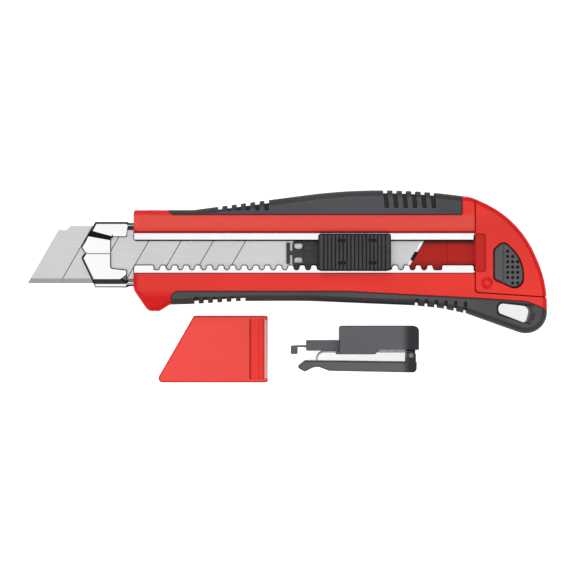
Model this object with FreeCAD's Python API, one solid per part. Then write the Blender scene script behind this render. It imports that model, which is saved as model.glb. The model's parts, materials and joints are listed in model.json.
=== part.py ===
import FreeCAD, Part
import math
import os

# Snap off knife with a magazine of spare blades, lying on its back, with its tip guard and belt clip.
# X runs from the blade's point to the handle's tail, Y towards the handle's spine, Z up from the surface that
# it lies on. The origin is under the middle of the handle, on the blades' centre line.
# Sizes are in millimetres.

# Overall sizes
handle_length = 179.3
handle_front = -handle_length / 2
handle_rear = handle_length / 2
spine_rise = 14.0  # from the channel's side to the crest of the spine
belly_drop = 6.3  # from the channel's side to the straight part of the belly

# Blades
blade_width = 25.0
blade_thickness = 0.7
blade_length = 111.4  # along one edge
blade_slant = math.tan(math.radians(30.0))
snap_pitch = 14.0
score_count = 6
score_width = 0.4
score_depth = 0.2
bevel_height = 2.2
bevel_edge = 0.06
spare_count = 4
stack_gap = 0.05
working_tail = handle_front + 72.65  # tail of the working blade, on the centre line
spare_tail = handle_rear - 58.0
stud_radius = 1.5
stud_clearance = 0.1
stud_from_tail = 4.2
stud_height = 8.2  # above the centre line

# Steel channel
steel = 1.0
side_gap = 0.3
channel_floor = 4.0
magazine_room = 2.1  # height that the magazine spring takes
plate_thickness = 0.45  # slider's plate, which runs between the blade and the lips
running_gap = 0.06
nose_reach = 22.8  # beyond the front of the handle
nose_swell = 0.5
nose_step = 0.6
fold_drop = 0.65  # of the nose's lower edge below its face
fold_start = 10.6  # below the centre line
tooth_pitch = 5.028
tooth_depth = 2.12
gap_count = 25
first_gap = handle_front + 10.4
upper_lip = 5.93
lower_lip = -4.37
rear_of_channel = handle_rear - 31.4

# Handle
rail_rise = 2.5  # rails above the channel's lips
grip_proud = 0.8
slot_top = 9.26
slot_bottom = -7.83
socket_gap = 0.05
edge_radius = 2.6
grip_edge_radius = 3.2
cap_length = 31.1
seam_gap = 0.3
groove_pitch = 4.03
groove_count = 6
groove_width = 2.0
groove_depth = 1.3

# Slider
button_front = handle_front + 80.15
button_length = 31.4
button_low = -7.1
button_high = 9.04
button_rise = 3.0  # above the rails
button_wall = 1.2
rib_pitch = 1.66
rib_count = 17
rib_depth = 0.5
press_travel = 1.5
pawl_travel = 2.3
pawl_gap_number = 17
wedge_lead = 0.5
wedge_length = 2.7
wedge_width = 3.2
wedge_gap = 0.15
lock_leaf_width = 5.0

# End cap
release_travel = 1.6
release_proud = 0.5
release_gap = 0.35
spring_tail = 1.5  # of the magazine spring beyond the spare blades
tongue_gap = 0.25
pip_radius = 2.6
seam_rib = 1.0  # height of the rib that closes the seam below the end cap

# Tip guard
guard_height = 29.0
guard_length = 32.2  # along its upper edge
guard_thickness = 6.5
guard_right = handle_front + 58.25
guard_wall = 1.6

# Belt clip, lying on its side
clip_width = 18.0
clip_pin_radius = 1.1
clip_pin_x = handle_rear - 59.05
ear_width = 4.0
ear_radius = 2.05
hinge_gap = 0.3
wire_radius = 0.45
coil_turns = 4

# Heights worked out from the stack of blades
pitch_up = blade_thickness + stack_gap
inside_floor = channel_floor + steel
first_spare = inside_floor + magazine_room + stack_gap
working_bottom = first_spare + spare_count * pitch_up + stack_gap
working_top = working_bottom + blade_thickness
lip_bottom = working_top + plate_thickness + 2 * running_gap
lip_top = lip_bottom + steel
rail_top = lip_top + rail_rise
grip_top = rail_top + grip_proud
button_top = rail_top + button_rise
inner_half = blade_width / 2 + side_gap
channel_half = inner_half + steel
nose_half = channel_half + nose_swell
guard_top = -channel_half - belly_drop - 6.5
clip_pin_y = -channel_half - belly_drop - 23.45
nose_floor = working_bottom - 0.1 - steel
crest = channel_half + spine_rise
seam_x = handle_rear - cap_length
far = 400.0


def outline(corners):
    """A closed wire through corners given as x, y and the radius that rounds each of them."""
    edges = []
    count = len(corners)
    ends = []
    for i, (x, y, radius) in enumerate(corners):
        here = FreeCAD.Vector(x, y, 0)
        before = FreeCAD.Vector(*corners[i - 1][:2], 0) - here
        after = FreeCAD.Vector(*corners[(i + 1) % count][:2], 0) - here
        before.normalize()
        after.normalize()
        if radius == 0:
            ends.append((here, here, None))
            continue
        half = before.getAngle(after) / 2
        reach = radius / math.tan(half)
        middle = (before + after).normalize() * (radius / math.sin(half) - radius)
        ends.append((here + before * reach, here + after * reach, here + middle))
    for i, (start, stop, middle) in enumerate(ends):
        if middle is not None:
            edges.append(Part.Arc(start, middle, stop).toShape())
        next_start = ends[(i + 1) % count][0]
        if stop.distanceToPoint(next_start) > 1e-6:
            edges.append(Part.LineSegment(stop, next_start).toShape())
    return Part.Wire(edges)


def plate(corners, low, high):
    """A flat plate with the given outline, from height low to height high."""
    wire = outline(corners)
    wire.translate(FreeCAD.Vector(0, 0, low))
    return Part.Face(wire).extrude(FreeCAD.Vector(0, 0, high - low))


def sharp(points):
    """Corners with no rounding."""
    return [(x, y, 0) for x, y in points]


def block(x0, x1, y0, y1, z0, z1):
    return Part.makeBox(x1 - x0, y1 - y0, z1 - z0, FreeCAD.Vector(x0, y0, z0))


def side_plate(points, y0, y1):
    """A plate drawn in X and Z, and as wide as y0 to y1."""
    path = [FreeCAD.Vector(x, y0, z) for x, z in points]
    return Part.Face(Part.makePolygon(path + path[:1])).extrude(FreeCAD.Vector(0, y1 - y0, 0))


def end_plate(points, x0, x1):
    """A plate drawn in Y and Z, and as long as x0 to x1."""
    path = [FreeCAD.Vector(x0, y, z) for y, z in points]
    return Part.Face(Part.makePolygon(path + path[:1])).extrude(FreeCAD.Vector(x1 - x0, 0, 0))


def post(x, y, radius, z0, z1):
    return Part.makeCylinder(radius, z1 - z0, FreeCAD.Vector(x, y, z0))


def flat_edges(shape, height):
    """The edges that lie flat at one height."""
    found = []
    for edge in shape.Edges:
        box = edge.BoundBox
        if abs(box.ZMin - height) < 1e-4 and abs(box.ZMax - height) < 1e-4:
            found.append(edge)
    return found


def join(shapes):
    return shapes[0].multiFuse(shapes[1:]).removeSplitter()


def write(name, shape):
    if not shape.isValid():
        raise ValueError(name + " is not a valid solid")
    shape.exportStep("parts/" + name + ".step")
    print(f"{name}: {len(shape.Solids)} solid, {shape.Volume:.1f} mm3")


# Blades


def slanted(tail, y):
    """Where a line along the blade's slant crosses height y, from where it crosses the centre line."""
    return tail + y * blade_slant


def blade(tail, bottom):
    half = blade_width / 2
    top = bottom + blade_thickness
    middle = (bottom + top) / 2
    tip = tail - blade_length
    section = [
        (half, bottom),
        (half, top),
        (bevel_height - half, top),
        (-half, middle + bevel_edge / 2),
        (-half, middle - bevel_edge / 2),
        (bevel_height - half, bottom),
    ]
    bar = end_plate(section, tip - blade_width, tail + blade_width)
    corners = [(slanted(x, y), y) for x, y in ((tip, -half), (tip, half), (tail, half), (tail, -half))]
    body = bar.common(plate(sharp(corners), bottom - 1, top + 1))
    cuts = [post(stud_x(tail), stud_height, stud_radius + stud_clearance, bottom - 1, top + 1)]
    for n in range(1, score_count + 1):
        x = tip + n * snap_pitch
        score = [
            (slanted(x - score_width / 2, -half - 1), -half - 1),
            (slanted(x + score_width / 2, -half - 1), -half - 1),
            (slanted(x + score_width / 2, half + 1), half + 1),
            (slanted(x - score_width / 2, half + 1), half + 1),
        ]
        cuts.append(plate(sharp(score), top - score_depth, top + 1))
    corner = slanted(tip, half)
    snapped = [
        (slanted(tip, half - 1.6) - 0.5, half - 1.6, 0),
        (corner + 2.4, half - 1.9, 1.6),
        (corner + 4.8, half + 0.6, 0),
        (corner - 3.0, half + 0.6, 0),
    ]
    cuts.append(plate(snapped, bottom - 1, top + 1))
    return body.cut(cuts)


def stud_x(tail):
    return slanted(tail, stud_height) - stud_from_tail


# Channel


def nose_tip():
    return handle_front - nose_reach


def nose_outline():
    """The nose seen from above, with the channel behind it."""
    tip = nose_tip()
    slope_start = tip + 6.3
    neck = handle_front - 2.6
    return [
        (slope_start, nose_half, 0.5),
        (tip, 3.0, 1.6),
        (tip + 1.6, 0.74, 0),
        (tip + 0.1, -1.4, 1.2),
        (slope_start, -nose_half, 0.5),
        (neck, -nose_half, 0.6),
        (neck + 0.6, -channel_half, 0),
        (rear_of_channel, -channel_half, 0),
        (rear_of_channel, channel_half, 0),
        (neck + 0.6, channel_half, 0),
        (neck, nose_half, 0.6),
    ]


def channel_window():
    """The opening between the lips, from the nose to the tail."""
    flap = nose_tip() + 13.1
    neck = handle_front - 2.75
    jaw = handle_front + 0.1
    root = lower_lip - tooth_depth
    first = first_gap - tooth_pitch / 2 + 1.2
    last = first_gap + (gap_count - 0.5) * tooth_pitch
    return [
        (flap, 7.6, 0.5),
        (flap, lower_lip - 1.5, 0.9),
        (neck, lower_lip - 2.2, 0.8),
        (neck, 2.8 - channel_half, 0),
        (jaw, 2.8 - channel_half, 0.3),
        (jaw, lower_lip, 1.2),
        (first, lower_lip, 0.9),
        (first, root, 0.5),
        (last, root, 0.5),
        (last, lower_lip, 0.9),
        (rear_of_channel - 0.1, lower_lip, 1.2),
        (rear_of_channel - 0.1, root - 0.7, 0),
        (rear_of_channel + 1, root - 0.7, 0),
        (rear_of_channel + 1, upper_lip + 2.8, 0),
        (rear_of_channel - 0.1, upper_lip + 2.8, 0),
        (rear_of_channel - 0.1, upper_lip, 1.2),
        (jaw, upper_lip, 1.2),
        (jaw, channel_half - 3.1, 0.3),
        (neck, channel_half - 3.1, 0),
        (neck, 7.6, 0.8),
    ]


def bump(x):
    """One tooth between two gaps of the lower lip."""
    root = lower_lip - tooth_depth
    corners = [
        (x - 1.75, root - 0.3, 0),
        (x - 1.3, lower_lip, 1.1),
        (x + 1.3, lower_lip, 1.1),
        (x + 1.75, root - 0.3, 0),
    ]
    return plate(corners, lip_bottom, lip_top)


def blade_channel():
    tip = nose_tip()
    ramp_front = handle_front - 9.5
    ramp_rear = handle_front - 3.0
    outer = plate(nose_outline(), channel_floor, lip_top)
    long_edges = []
    for edge in flat_edges(outer, lip_top):
        box = edge.BoundBox
        if box.XLength > 5 and box.YLength < 1e-4 and abs(box.YMax) > inner_half:
            long_edges.append(edge)
    outer = outer.makeFillet(steel * 1.35, long_edges)
    under = [(tip - 5, channel_floor - 1), (tip - 5, nose_floor), (ramp_front, nose_floor)]
    under += [(ramp_rear, channel_floor), (ramp_rear, channel_floor - 1)]
    inside = [(tip - 5, nose_floor + steel), (ramp_front, nose_floor + steel)]
    inside += [(ramp_rear, inside_floor), (rear_of_channel + 5, inside_floor)]
    inside += [(rear_of_channel + 5, lip_bottom), (tip - 5, lip_bottom)]
    crease = handle_front - 8.6
    pressed_top = [(tip - 4, 10.5), (tip + 4.6, 10.5), (crease - 0.5, 8.1), (crease - 0.5, 0.9)]
    pressed_top += [(tip - 4, 0.9)]
    pressed_low = [(tip - 4, 8.2), (tip + 3.2, 8.2), (crease - 0.9, 6.4), (crease - 0.9, 0.9), (tip - 4, 0.9)]
    wires = []
    for points, height in ((pressed_low, lip_top - nose_step), (pressed_top, lip_top + 0.02)):
        path = [FreeCAD.Vector(x, y, height) for x, y in points]
        wires.append(Part.makePolygon(path + path[:1]))
    neck = handle_front - 2.75
    fold_end = -fold_start - 2.15
    fold = [(-fold_start, lip_top), (fold_end, lip_top - fold_drop), (-far / 4, lip_top - fold_drop)]
    fold += [(-far / 4, lip_top + 1), (-fold_start, lip_top + 1)]
    twist = [
        FreeCAD.Vector(neck - 2.6, -fold_start + 0.2, lip_top),
        FreeCAD.Vector(neck + 0.3, -fold_start + 2.6, lip_top),
        FreeCAD.Vector(neck + 0.3, fold_end + 0.75, lip_top - 0.8 * steel),
    ]
    twisted = Part.Face(Part.makePolygon(twist + twist[:1])).extrude(FreeCAD.Vector(0, 0, 2))
    high = channel_half - 3.1
    scoop = [(high - 0.1, lip_bottom + 0.3), (high + 1.8, lip_top), (high + 1.8, lip_top + 1)]
    scoop += [(high - 0.1, lip_top + 1)]
    low = 1.6 - channel_half
    valley = [(low - 0.4, lip_top), (low, lip_top - 0.5), (low + 0.4, lip_top), (low + 0.4, lip_top + 1)]
    valley += [(low - 0.4, lip_top + 1)]
    cuts = [
        end_plate(fold, tip - 5, neck),
        twisted,
        end_plate(scoop, neck, handle_front + 1),
        end_plate(valley, neck, handle_front + 1),
        side_plate(under, -far / 4, far / 4),
        side_plate(inside, -inner_half, inner_half),
        plate(channel_window(), lip_bottom - 0.3, lip_top + 1),
        block(tip - 5, tip + 13.3, 0.6, 0.88, lip_bottom - 0.3, lip_top + 1),
        Part.makeLoft(wires, True, True),
    ]
    shell = outer.cut(cuts)
    bumps = [bump(first_gap + (n + 0.5) * tooth_pitch) for n in range(gap_count - 1)]
    return join([shell] + bumps)


def magazine_spring():
    """A bowed steel leaf that presses the spare blades up, with a flat tail that shows behind them."""
    front = spare_tail - blade_length + 14.0
    rear = spare_tail + 12.0
    top = first_spare - stack_gap
    leaf = 0.4
    low = inside_floor + 0.02
    knees = [front, front + 22.0, front + 50.0, spare_tail - 18.0]
    upper = [(knees[0], low + leaf), (knees[1], top), (knees[2], low + leaf + 0.3)]
    upper += [(knees[3], top), (rear, top)]
    lower = [(x, z - leaf) for x, z in reversed(upper)]
    strip = side_plate(upper + lower, -10.0, 10.0)
    edge = [(slanted(spare_tail + spring_tail, y), y) for y in (-11.0, 11.0)]
    behind = [edge[0], (rear + 20, -11.0), (rear + 20, 11.0), edge[1]]
    notch_x = slanted(spare_tail + spring_tail, -0.65)
    notch = [
        (notch_x - 2.2, -2.6, 0.6),
        (notch_x + 5.0, -2.6, 0),
        (notch_x + 5.0, 1.3, 0),
        (notch_x - 1.0, 1.3, 0.6),
    ]
    return strip.cut([plate(sharp(behind), low - 1, top + 1), plate(notch, low - 1, top + 1)])


# Handle


def silhouette():
    """The handle seen from above: nose end, spine, rounded tail, belly and chin."""
    front = handle_front
    rear = handle_rear
    top = channel_half
    low = -channel_half
    middle = (front + rear) / 2 + 16.0
    return [
        (front + 0.1, low + 1.0, 0),
        (front + 0.1, top + 5.5, 1.2),
        (front + 26.0, top + 5.5, 20.0),
        (middle, crest + 2.05, 250.0),
        (rear - 32.6, top + 11.1, 12.0),
        (rear - 12.1, top + 1.7, 3.19 * channel_half),
        (rear, low + 2.2, 3.48 * channel_half),
        (rear, low - 24.2, 9.2),
        (rear - 34.5, low - 11.85, 4.0),
        (rear - 45.6, low - 9.5, 6.0),
        (rear - 58.0, low - 8.2, 60.0),
        (front + 76.0, low - belly_drop, 100.0),
        (front + 47.0, low - belly_drop, 60.0),
        (front + 26.0, low - 7.6, 10.0),
        (front + 15.6, low - 7.9, 4.0),
        (front + 11.3, low - 10.75, 3.0),
        (front + 6.5, low - 10.75, 3.0),
        (front + 0.1, low - 1.5, 5.0),
    ]


def rounded_prism(corners, low, high, radius):
    """A plate whose two faces are rounded into its sides."""
    solid = plate(corners, low, high)
    return solid.makeFillet(radius, flat_edges(solid, low) + flat_edges(solid, high))


def spine_region():
    front = handle_front
    low = channel_half + 3.46
    end = seam_x - 5.8
    return [
        (front + 11.0, low + 6.5, 0),
        (front + 17.0, low, 0.6),
        (end, low, 0.3),
        (end, low + 40, 0),
        (front + 11.0, low + 40, 0),
    ]


def belly_region():
    front = handle_front
    rear = handle_rear
    top = -channel_half - 2.07
    return [
        (front + 16.5, top - 40, 0),
        (front + 16.5, top, 3.2),
        ((front + rear) / 2 + 2.0, top, 90.0),
        (rear - 30.0, top - 3.0, 100.0),
        (rear - 8.6, top - 4.4, 14.0),
        (rear + 8.0, top - 11.6, 0),
        (rear + 8.0, top - 40, 0),
    ]


def cap_region(gap):
    """The space of the end cap, grown by gap on its seams."""
    low = -channel_half - 2.4
    return [
        (seam_x - gap, low - gap, 1.6),
        (handle_rear + 10, low - 2.75 - gap, 0),
        (handle_rear + 10, low + 90, 0),
        (seam_x - gap, low + 90, 0),
    ]


def seam_band(height, room):
    """The rib inside the seam below the end cap, or the groove that it lies in, larger by room."""
    low = -channel_half - 2.4 - seam_gap
    start = seam_x - 1.0
    end = handle_rear - 0.5 + 5 * room
    fall = 2.75 / (handle_rear + 10 - seam_x)
    corners = [(start, low - 0.5), (end, low - 0.5 - fall * (end - start))]
    corners += [(end, low + height - fall * (end - seam_x)), (start, low + height - fall * (start - seam_x))]
    middle = rail_top / 2
    return plate(sharp(corners), middle - 1.5 - room, middle + 1.5 + room)


def soft_region(corners, high):
    """A grip's share of the handle, with a softened upper edge."""
    solid = plate(corners, -1, high)
    return solid.makeFillet(0.5, flat_edges(solid, high))


def face_groove(x, end_y, outward, lean, width):
    """A groove that runs from end_y on the faces, over the handle's edge. outward is 1 at the spine."""
    half = width / 2
    out = end_y + outward * 30
    shift = lean * 30
    corners = [
        (x - half, end_y, half * 0.9),
        (x + half, end_y, half * 0.9),
        (x + half - shift, out, 0),
        (x - half - shift, out, 0),
    ]
    front = plate(corners, grip_top - groove_depth, grip_top + 1)
    back = plate(corners, -1, groove_depth)
    return [front, back]


def grip_core(depth):
    """The handle's outline drawn in by depth, which leaves the grooves their floor."""
    face = Part.Face(outline(silhouette()))
    core = face.makeOffset2D(-depth)
    return core.extrude(FreeCAD.Vector(0, 0, grip_top + 2)).translated(FreeCAD.Vector(0, 0, -1))


def groove_cuts(places, outward, core):
    """Cutters for a row of grooves: across both faces and along the edge, down to the core."""
    cuts = []
    for x, end_y, lean, width in places:
        cuts += face_groove(x, end_y, outward, lean, width)
        half = width / 2
        edge_y = sorted((end_y + outward * 0.5, end_y + outward * 30))
        slab = block(x - half, x + half, edge_y[0], edge_y[1], groove_depth / 2, grip_top - groove_depth / 2)
        if lean:
            slab = slab.translated(FreeCAD.Vector(-lean * 6, 0, 0))
        cuts.append(slab.cut(core))
    return cuts


def spine_grip():
    outer = rounded_prism(silhouette(), 0, grip_top, grip_edge_radius)
    grip = outer.common(soft_region(spine_region(), grip_top))
    front_row = handle_front + 37.65
    rear_row = handle_rear - 69.4
    places = []
    for n in range(groove_count):
        places.append((front_row + n * groove_pitch, channel_half + 5.2, 0, groove_width))
        places.append((rear_row + n * groove_pitch * 1.01, channel_half + 6.2, 0.11, groove_width))
    return grip.cut(groove_cuts(places, 1, grip_core(groove_depth)))


def belly_grip():
    outer = rounded_prism(silhouette(), 0, grip_top, grip_edge_radius)
    grip = outer.common(soft_region(belly_region(), grip_top))
    front_row = handle_front + 27.35
    rear_row = handle_rear - 56.5
    places = []
    for n in range(groove_count):
        places.append((front_row + n * groove_pitch, -channel_half - 4.4, 0, groove_width + 0.2))
        rear_end = -channel_half - 5.2 - 0.25 * n
        places.append((rear_row + n * groove_pitch * 1.04, rear_end, 0, groove_width - 0.4))
    cuts = groove_cuts(places, -1, grip_core(groove_depth))
    cuts += lanyard_cuts()
    return grip.cut(cuts)


def lanyard_corners(grow):
    rear = handle_rear
    low = -channel_half
    return [
        (rear - 21.2 - grow, low - 7.2 + grow, 2.0),
        (rear - 6.6 + 3 * grow, low - 8.8 + grow, 2.6),
        (rear - 8.6 + 3 * grow, low - 16.2 - grow, 1.8),
        (rear - 21.2 - grow, low - 11.4 - grow, 1.8),
    ]


def lanyard_cuts():
    """The lanyard hole, with a sloping rim on both faces."""
    cuts = [plate(lanyard_corners(0), -1, grip_top + 1)]
    rim = 0.9
    for height, over in ((grip_top, 1), (0, -1)):
        wires = []
        for grow, z in ((0, height - over * rim), (rim, height + over * 0.01)):
            wire = outline(lanyard_corners(grow))
            wire.translate(FreeCAD.Vector(0, 0, z))
            wires.append(wire)
        cuts.append(Part.makeLoft(wires, True, True))
    return cuts


def handle_body():
    outer = rounded_prism(silhouette(), 0, rail_top, edge_radius)
    half = channel_half + socket_gap
    slot_end = seam_x + 1
    front = handle_front - 5
    slot = [
        (front, slot_bottom, 0),
        (slot_end, slot_bottom, 0),
        (slot_end, slot_top, 0),
        (front, slot_top, 0),
    ]
    mouth = 1.0
    jaw = []
    for side, edge in ((1, slot_top), (-1, slot_bottom)):
        x = handle_front
        corners = [(x - 1, edge - side), (x + mouth, edge - side)]
        corners += [(x, edge + side * mouth), (x - 1, edge + side * mouth)]
        jaw.append(plate(sharp(corners), lip_top, rail_top + 1))
    cuts = [
        plate(spine_region(), -2, grip_top + 2),
        plate(belly_region(), -2, grip_top + 2),
        plate(cap_region(seam_gap), -2, grip_top + 2),
        block(front, slot_end, -half, half, channel_floor - socket_gap, lip_top + socket_gap),
        plate(slot, channel_floor, rail_top + 1),
    ]
    return join([outer.cut(cuts + jaw), seam_band(seam_rib, 0)])


# Slider


def pawl_x():
    return first_gap + pawl_gap_number * tooth_pitch


def slider_carrier():
    """The plate that runs under the lips, with the raised tongue that shows in front of the button."""
    low = working_top + running_gap
    high = low + plate_thickness
    half = inner_half - 0.3
    front = button_front - 13.8
    rear = button_front + button_length - 4.0
    deck = lip_top - 0.1
    tongue_top = upper_lip - 0.74
    tongue_low = lower_lip + 0.35
    wide = plate(sharp([(front + 3, -half), (rear, -half), (rear, half), (front + 3, half)]), low, high)
    bar = block(front, front + 1.6, tongue_low, tongue_top, low, deck)
    neck = block(front + 1.6, front + 3, -0.2, 1.6, low, deck)
    tongue = block(front + 2.6, button_front + 3, tongue_low, tongue_top, low, deck)
    notch_x = front + 5.2
    tongue_cuts = [
        block(front + 7.4, front + 12.6, tongue_low + 0.65, tongue_top - 0.65, deck - 0.35, deck + 1),
    ]
    holes = []
    for near, away, near_radius, away_radius in ((2.5, 4.75, 1.1, 0.5), (-3.5, -1.25, 0.3, 1.1)):
        hole = [
            (notch_x - 1.75, near, near_radius),
            (notch_x + 1.75, near, near_radius),
            (notch_x + 1.75, away, away_radius),
            (notch_x - 1.75, away, away_radius),
        ]
        holes.append(plate(hole, low - 1, deck + 1))
    tail_stop = [(slanted(working_tail + 0.1, y), y) for y in (-half, half)]
    tail_stop += [(slanted(working_tail + 2.1, y), y) for y in (half, -half)]
    stop = plate(sharp(tail_stop), working_bottom + 0.05, high)
    rail_low = block(button_front + 3, pawl_x() - 4.2, tongue_low, tongue_top, low, deck)
    rail_high = block(pawl_x() + 4.2, rear, tongue_low, tongue_top, low, deck)
    solid = join([wide, bar, neck, tongue.cut(tongue_cuts), stop, rail_low, rail_high])
    stud_hole = post(stud_x(working_tail), stud_height, stud_radius, low - 1, high + 1)
    return solid.cut([stud_hole] + holes)


def blade_stud():
    """The rivet in the slider's plate that holds the working blade by its tail hole."""
    low = working_bottom + 0.02
    high = working_top + running_gap + plate_thickness
    return post(stud_x(working_tail), stud_height, stud_radius, low, high)


def ramp_foot():
    """Where the pawl's ramp rises out of the pawl."""
    return lower_lip + 3.4


def ramp_slope():
    return press_travel / pawl_travel


def lock_pawl():
    """The steel pawl whose tooth sits in one gap of the lower lip, with the ramp that the button presses."""
    low = working_top + running_gap + plate_thickness + 0.03
    high = lip_top
    x = pawl_x()
    tooth_end = lower_lip - tooth_depth + 0.25
    shoulder = lower_lip + 0.5
    back = ramp_foot() + pawl_travel + 1.9
    body = [
        (x - 0.85, tooth_end, 0.55),
        (x + 0.85, tooth_end, 0.55),
        (x + 0.95, shoulder, 0),
        (x + 3.8, shoulder, 0),
        (x + 3.8, back, 0),
        (x - 3.8, back, 0),
        (x - 3.8, shoulder, 0),
        (x - 0.95, shoulder, 0),
    ]
    slab = plate(body, low, high)
    foot = ramp_foot()
    window_run = (high - low) / ramp_slope()
    window_end = foot - pawl_travel + wedge_lead - 0.15
    window = [(window_end, low - 1), (window_end, high + 1), (foot, high + 1), (foot, high)]
    window += [(foot - window_run, low), (foot - window_run, low - 1)]
    slab = slab.cut(end_plate(window, x - wedge_width / 2 - 0.2, x + wedge_width / 2 + 0.2))
    ramp_end = foot + wedge_lead + wedge_length + 0.1
    ramp = [(foot, high - 0.2), (ramp_end, high - 0.2), (ramp_end, high + (ramp_end - foot) * ramp_slope())]
    ramp.append((foot, high))
    return join([slab, end_plate(ramp, x - 2.0, x + 2.0)])


def button_inside():
    return button_top - button_wall - rib_depth


def thumb_button():
    low = lip_top + hinge_gap + press_travel
    rear = button_front + button_length
    corners = [
        (button_front, button_low, 1.6),
        (rear, button_low, 1.8),
        (rear, button_high, 1.0),
        (button_front, button_high, 1.2),
    ]
    solid = plate(corners, low, button_top)
    solid = solid.makeFillet(0.9, flat_edges(solid, button_top))
    wall = button_wall
    walls = (button_low + wall, button_high - wall)
    hollow = block(button_front + wall, rear - wall, walls[0], walls[1], low - 1, button_inside())
    cuts = [hollow]
    middle = button_front + button_length / 2
    for n in range(rib_count):
        x = middle + (n - (rib_count - 1) / 2) * rib_pitch
        ends = (button_low - 1, button_high + 1)
        cuts.append(block(x - 0.3, x + 0.3, ends[0], ends[1], button_top - rib_depth, button_top + 1))
    for x in (middle - 5.6, middle + 7.7):
        for y in (button_low + 3.5, button_high - 3.0):
            cuts.append(block(x - 1.7, x + 1.7, y - 0.7, y + 0.7, button_top - 0.8, button_top + 1))
    solid = solid.cut(cuts)
    near = ramp_foot() + wedge_lead
    away = near + wedge_length
    base = lip_top + wedge_gap - ramp_slope() * ramp_foot()
    ceiling = button_inside() + 0.2
    wedge = [(near, base + ramp_slope() * near), (away, base + ramp_slope() * away)]
    wedge += [(away, ceiling), (near, ceiling)]
    return join([solid, end_plate(wedge, pawl_x() - wedge_width / 2, pawl_x() + wedge_width / 2)])


def lock_leaf():
    """The bowed leaf that lifts the thumb button again."""
    x = pawl_x() + 9.2
    low = lip_top - 0.1 + 0.02
    high = button_inside() - 0.02
    leaf = 0.35
    half = 4.2
    upper = [(x - half, low + leaf), (x - half + 1.2, low + leaf), (x - 1.2, high), (x + 1.2, high)]
    upper += [(x + half - 1.2, low + leaf), (x + half, low + leaf)]
    lower = [(px, pz - leaf) for px, pz in reversed(upper)]
    return side_plate(upper + lower, 0.8 - lock_leaf_width / 2, 0.8 + lock_leaf_width / 2)


# End cap


def release_corners(grow):
    rear = handle_rear
    return [
        (rear - 23.05 - grow, 2.2 + 0.4 * grow, 2.4),
        (rear - 18.85, 5.8 + 1.2 * grow, 2.8),
        (rear - 10.6 + grow, -2.4 + 0.4 * grow, 16.0),
        (rear - 10.6 + grow, -16.2 - 1.5 * grow, 4.0),
        (rear - 23.05 - grow, -10.6 - 0.8 * grow, 1.8),
    ]


def release_floor():
    return rail_top - 5.0


def end_cap():
    outer = rounded_prism(silhouette(), 0, rail_top, edge_radius)
    solid = outer.common(plate(cap_region(0), -1, rail_top + 1))
    tongue_half = inner_half - 0.3
    tongue_top = working_bottom - 0.25
    tongue_low = inside_floor + 0.15
    step = seam_x - 11.9
    start = spare_tail + spring_tail + tongue_gap
    tongue = [(slanted(start, y), y) for y in (-tongue_half, tongue_half)]
    tongue = [tongue[0], (seam_x + 1, -tongue_half), (seam_x + 1, tongue_half), tongue[1]]
    thin = plate(sharp(tongue), tongue_low, tongue_top - 0.6)
    thick = block(step, seam_x + 1, -tongue_half, tongue_half, tongue_low, tongue_top)
    recess = [
        (seam_x - 5, slot_bottom + 0.4, 0),
        (seam_x + 4.4, slot_bottom + 0.4, 0.9),
        (seam_x + 4.4, slot_top - 0.3, 0.9),
        (seam_x - 5, slot_top - 0.3, 0),
    ]
    cuts = [
        plate(recess, rail_top - 1.1, rail_top + 1),
        plate(release_corners(release_gap), release_floor(), rail_top + 1),
    ]
    bump_height = 0.8
    ball = (pip_radius ** 2 + bump_height ** 2) / (2 * bump_height)
    middle = FreeCAD.Vector(seam_x + 4.9, 1.5 - channel_half, rail_top + bump_height - ball)
    pip = Part.makeSphere(ball, middle)
    pip = pip.common(block(seam_x, seam_x + 10, -far, far, rail_top - 0.4, rail_top + 2))
    cuts.append(seam_band(seam_rib + 2 * seam_gap, seam_gap))
    return join([solid.cut(cuts), thin, thick, pip])


def release_button():
    low = release_floor() + release_travel + 0.35
    high = rail_top + release_proud
    solid = plate(release_corners(0), low, high)
    solid = solid.makeFillet(0.6, flat_edges(solid, high))
    groove_x = handle_rear - 19.15
    return solid.cut(block(groove_x - 0.4, groove_x + 0.4, -20, 10, high - 0.5, high + 1))


def release_spring():
    """The bowed leaf under the release button."""
    x = handle_rear - 16.5
    y = -6.0
    leaf = 0.3
    low = release_floor() + 0.02
    high = release_floor() + release_travel + 0.35 - 0.02
    half = 4.5
    upper = [(x - half, low + leaf), (x - 0.8, high), (x + 0.8, high), (x + half, low + leaf)]
    lower = [(px, pz - leaf) for px, pz in reversed(upper)]
    return side_plate(upper + lower, y - 2.0, y + 2.0)


# Tip guard


def guard_outline(shrink, right):
    top = guard_top - shrink
    low = guard_top - guard_height + shrink
    left_low = guard_right - guard_length - guard_height * blade_slant
    slide = shrink / math.cos(math.radians(30.0))
    return [
        (guard_right - guard_length + slide - shrink * blade_slant, top, 0.9),
        (right, top, 0.9 if shrink == 0 else 0),
        (right, low, 0.9 if shrink == 0 else 0),
        (left_low + slide + shrink * blade_slant, low, 1.8 if shrink == 0 else 0.6),
    ]


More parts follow.
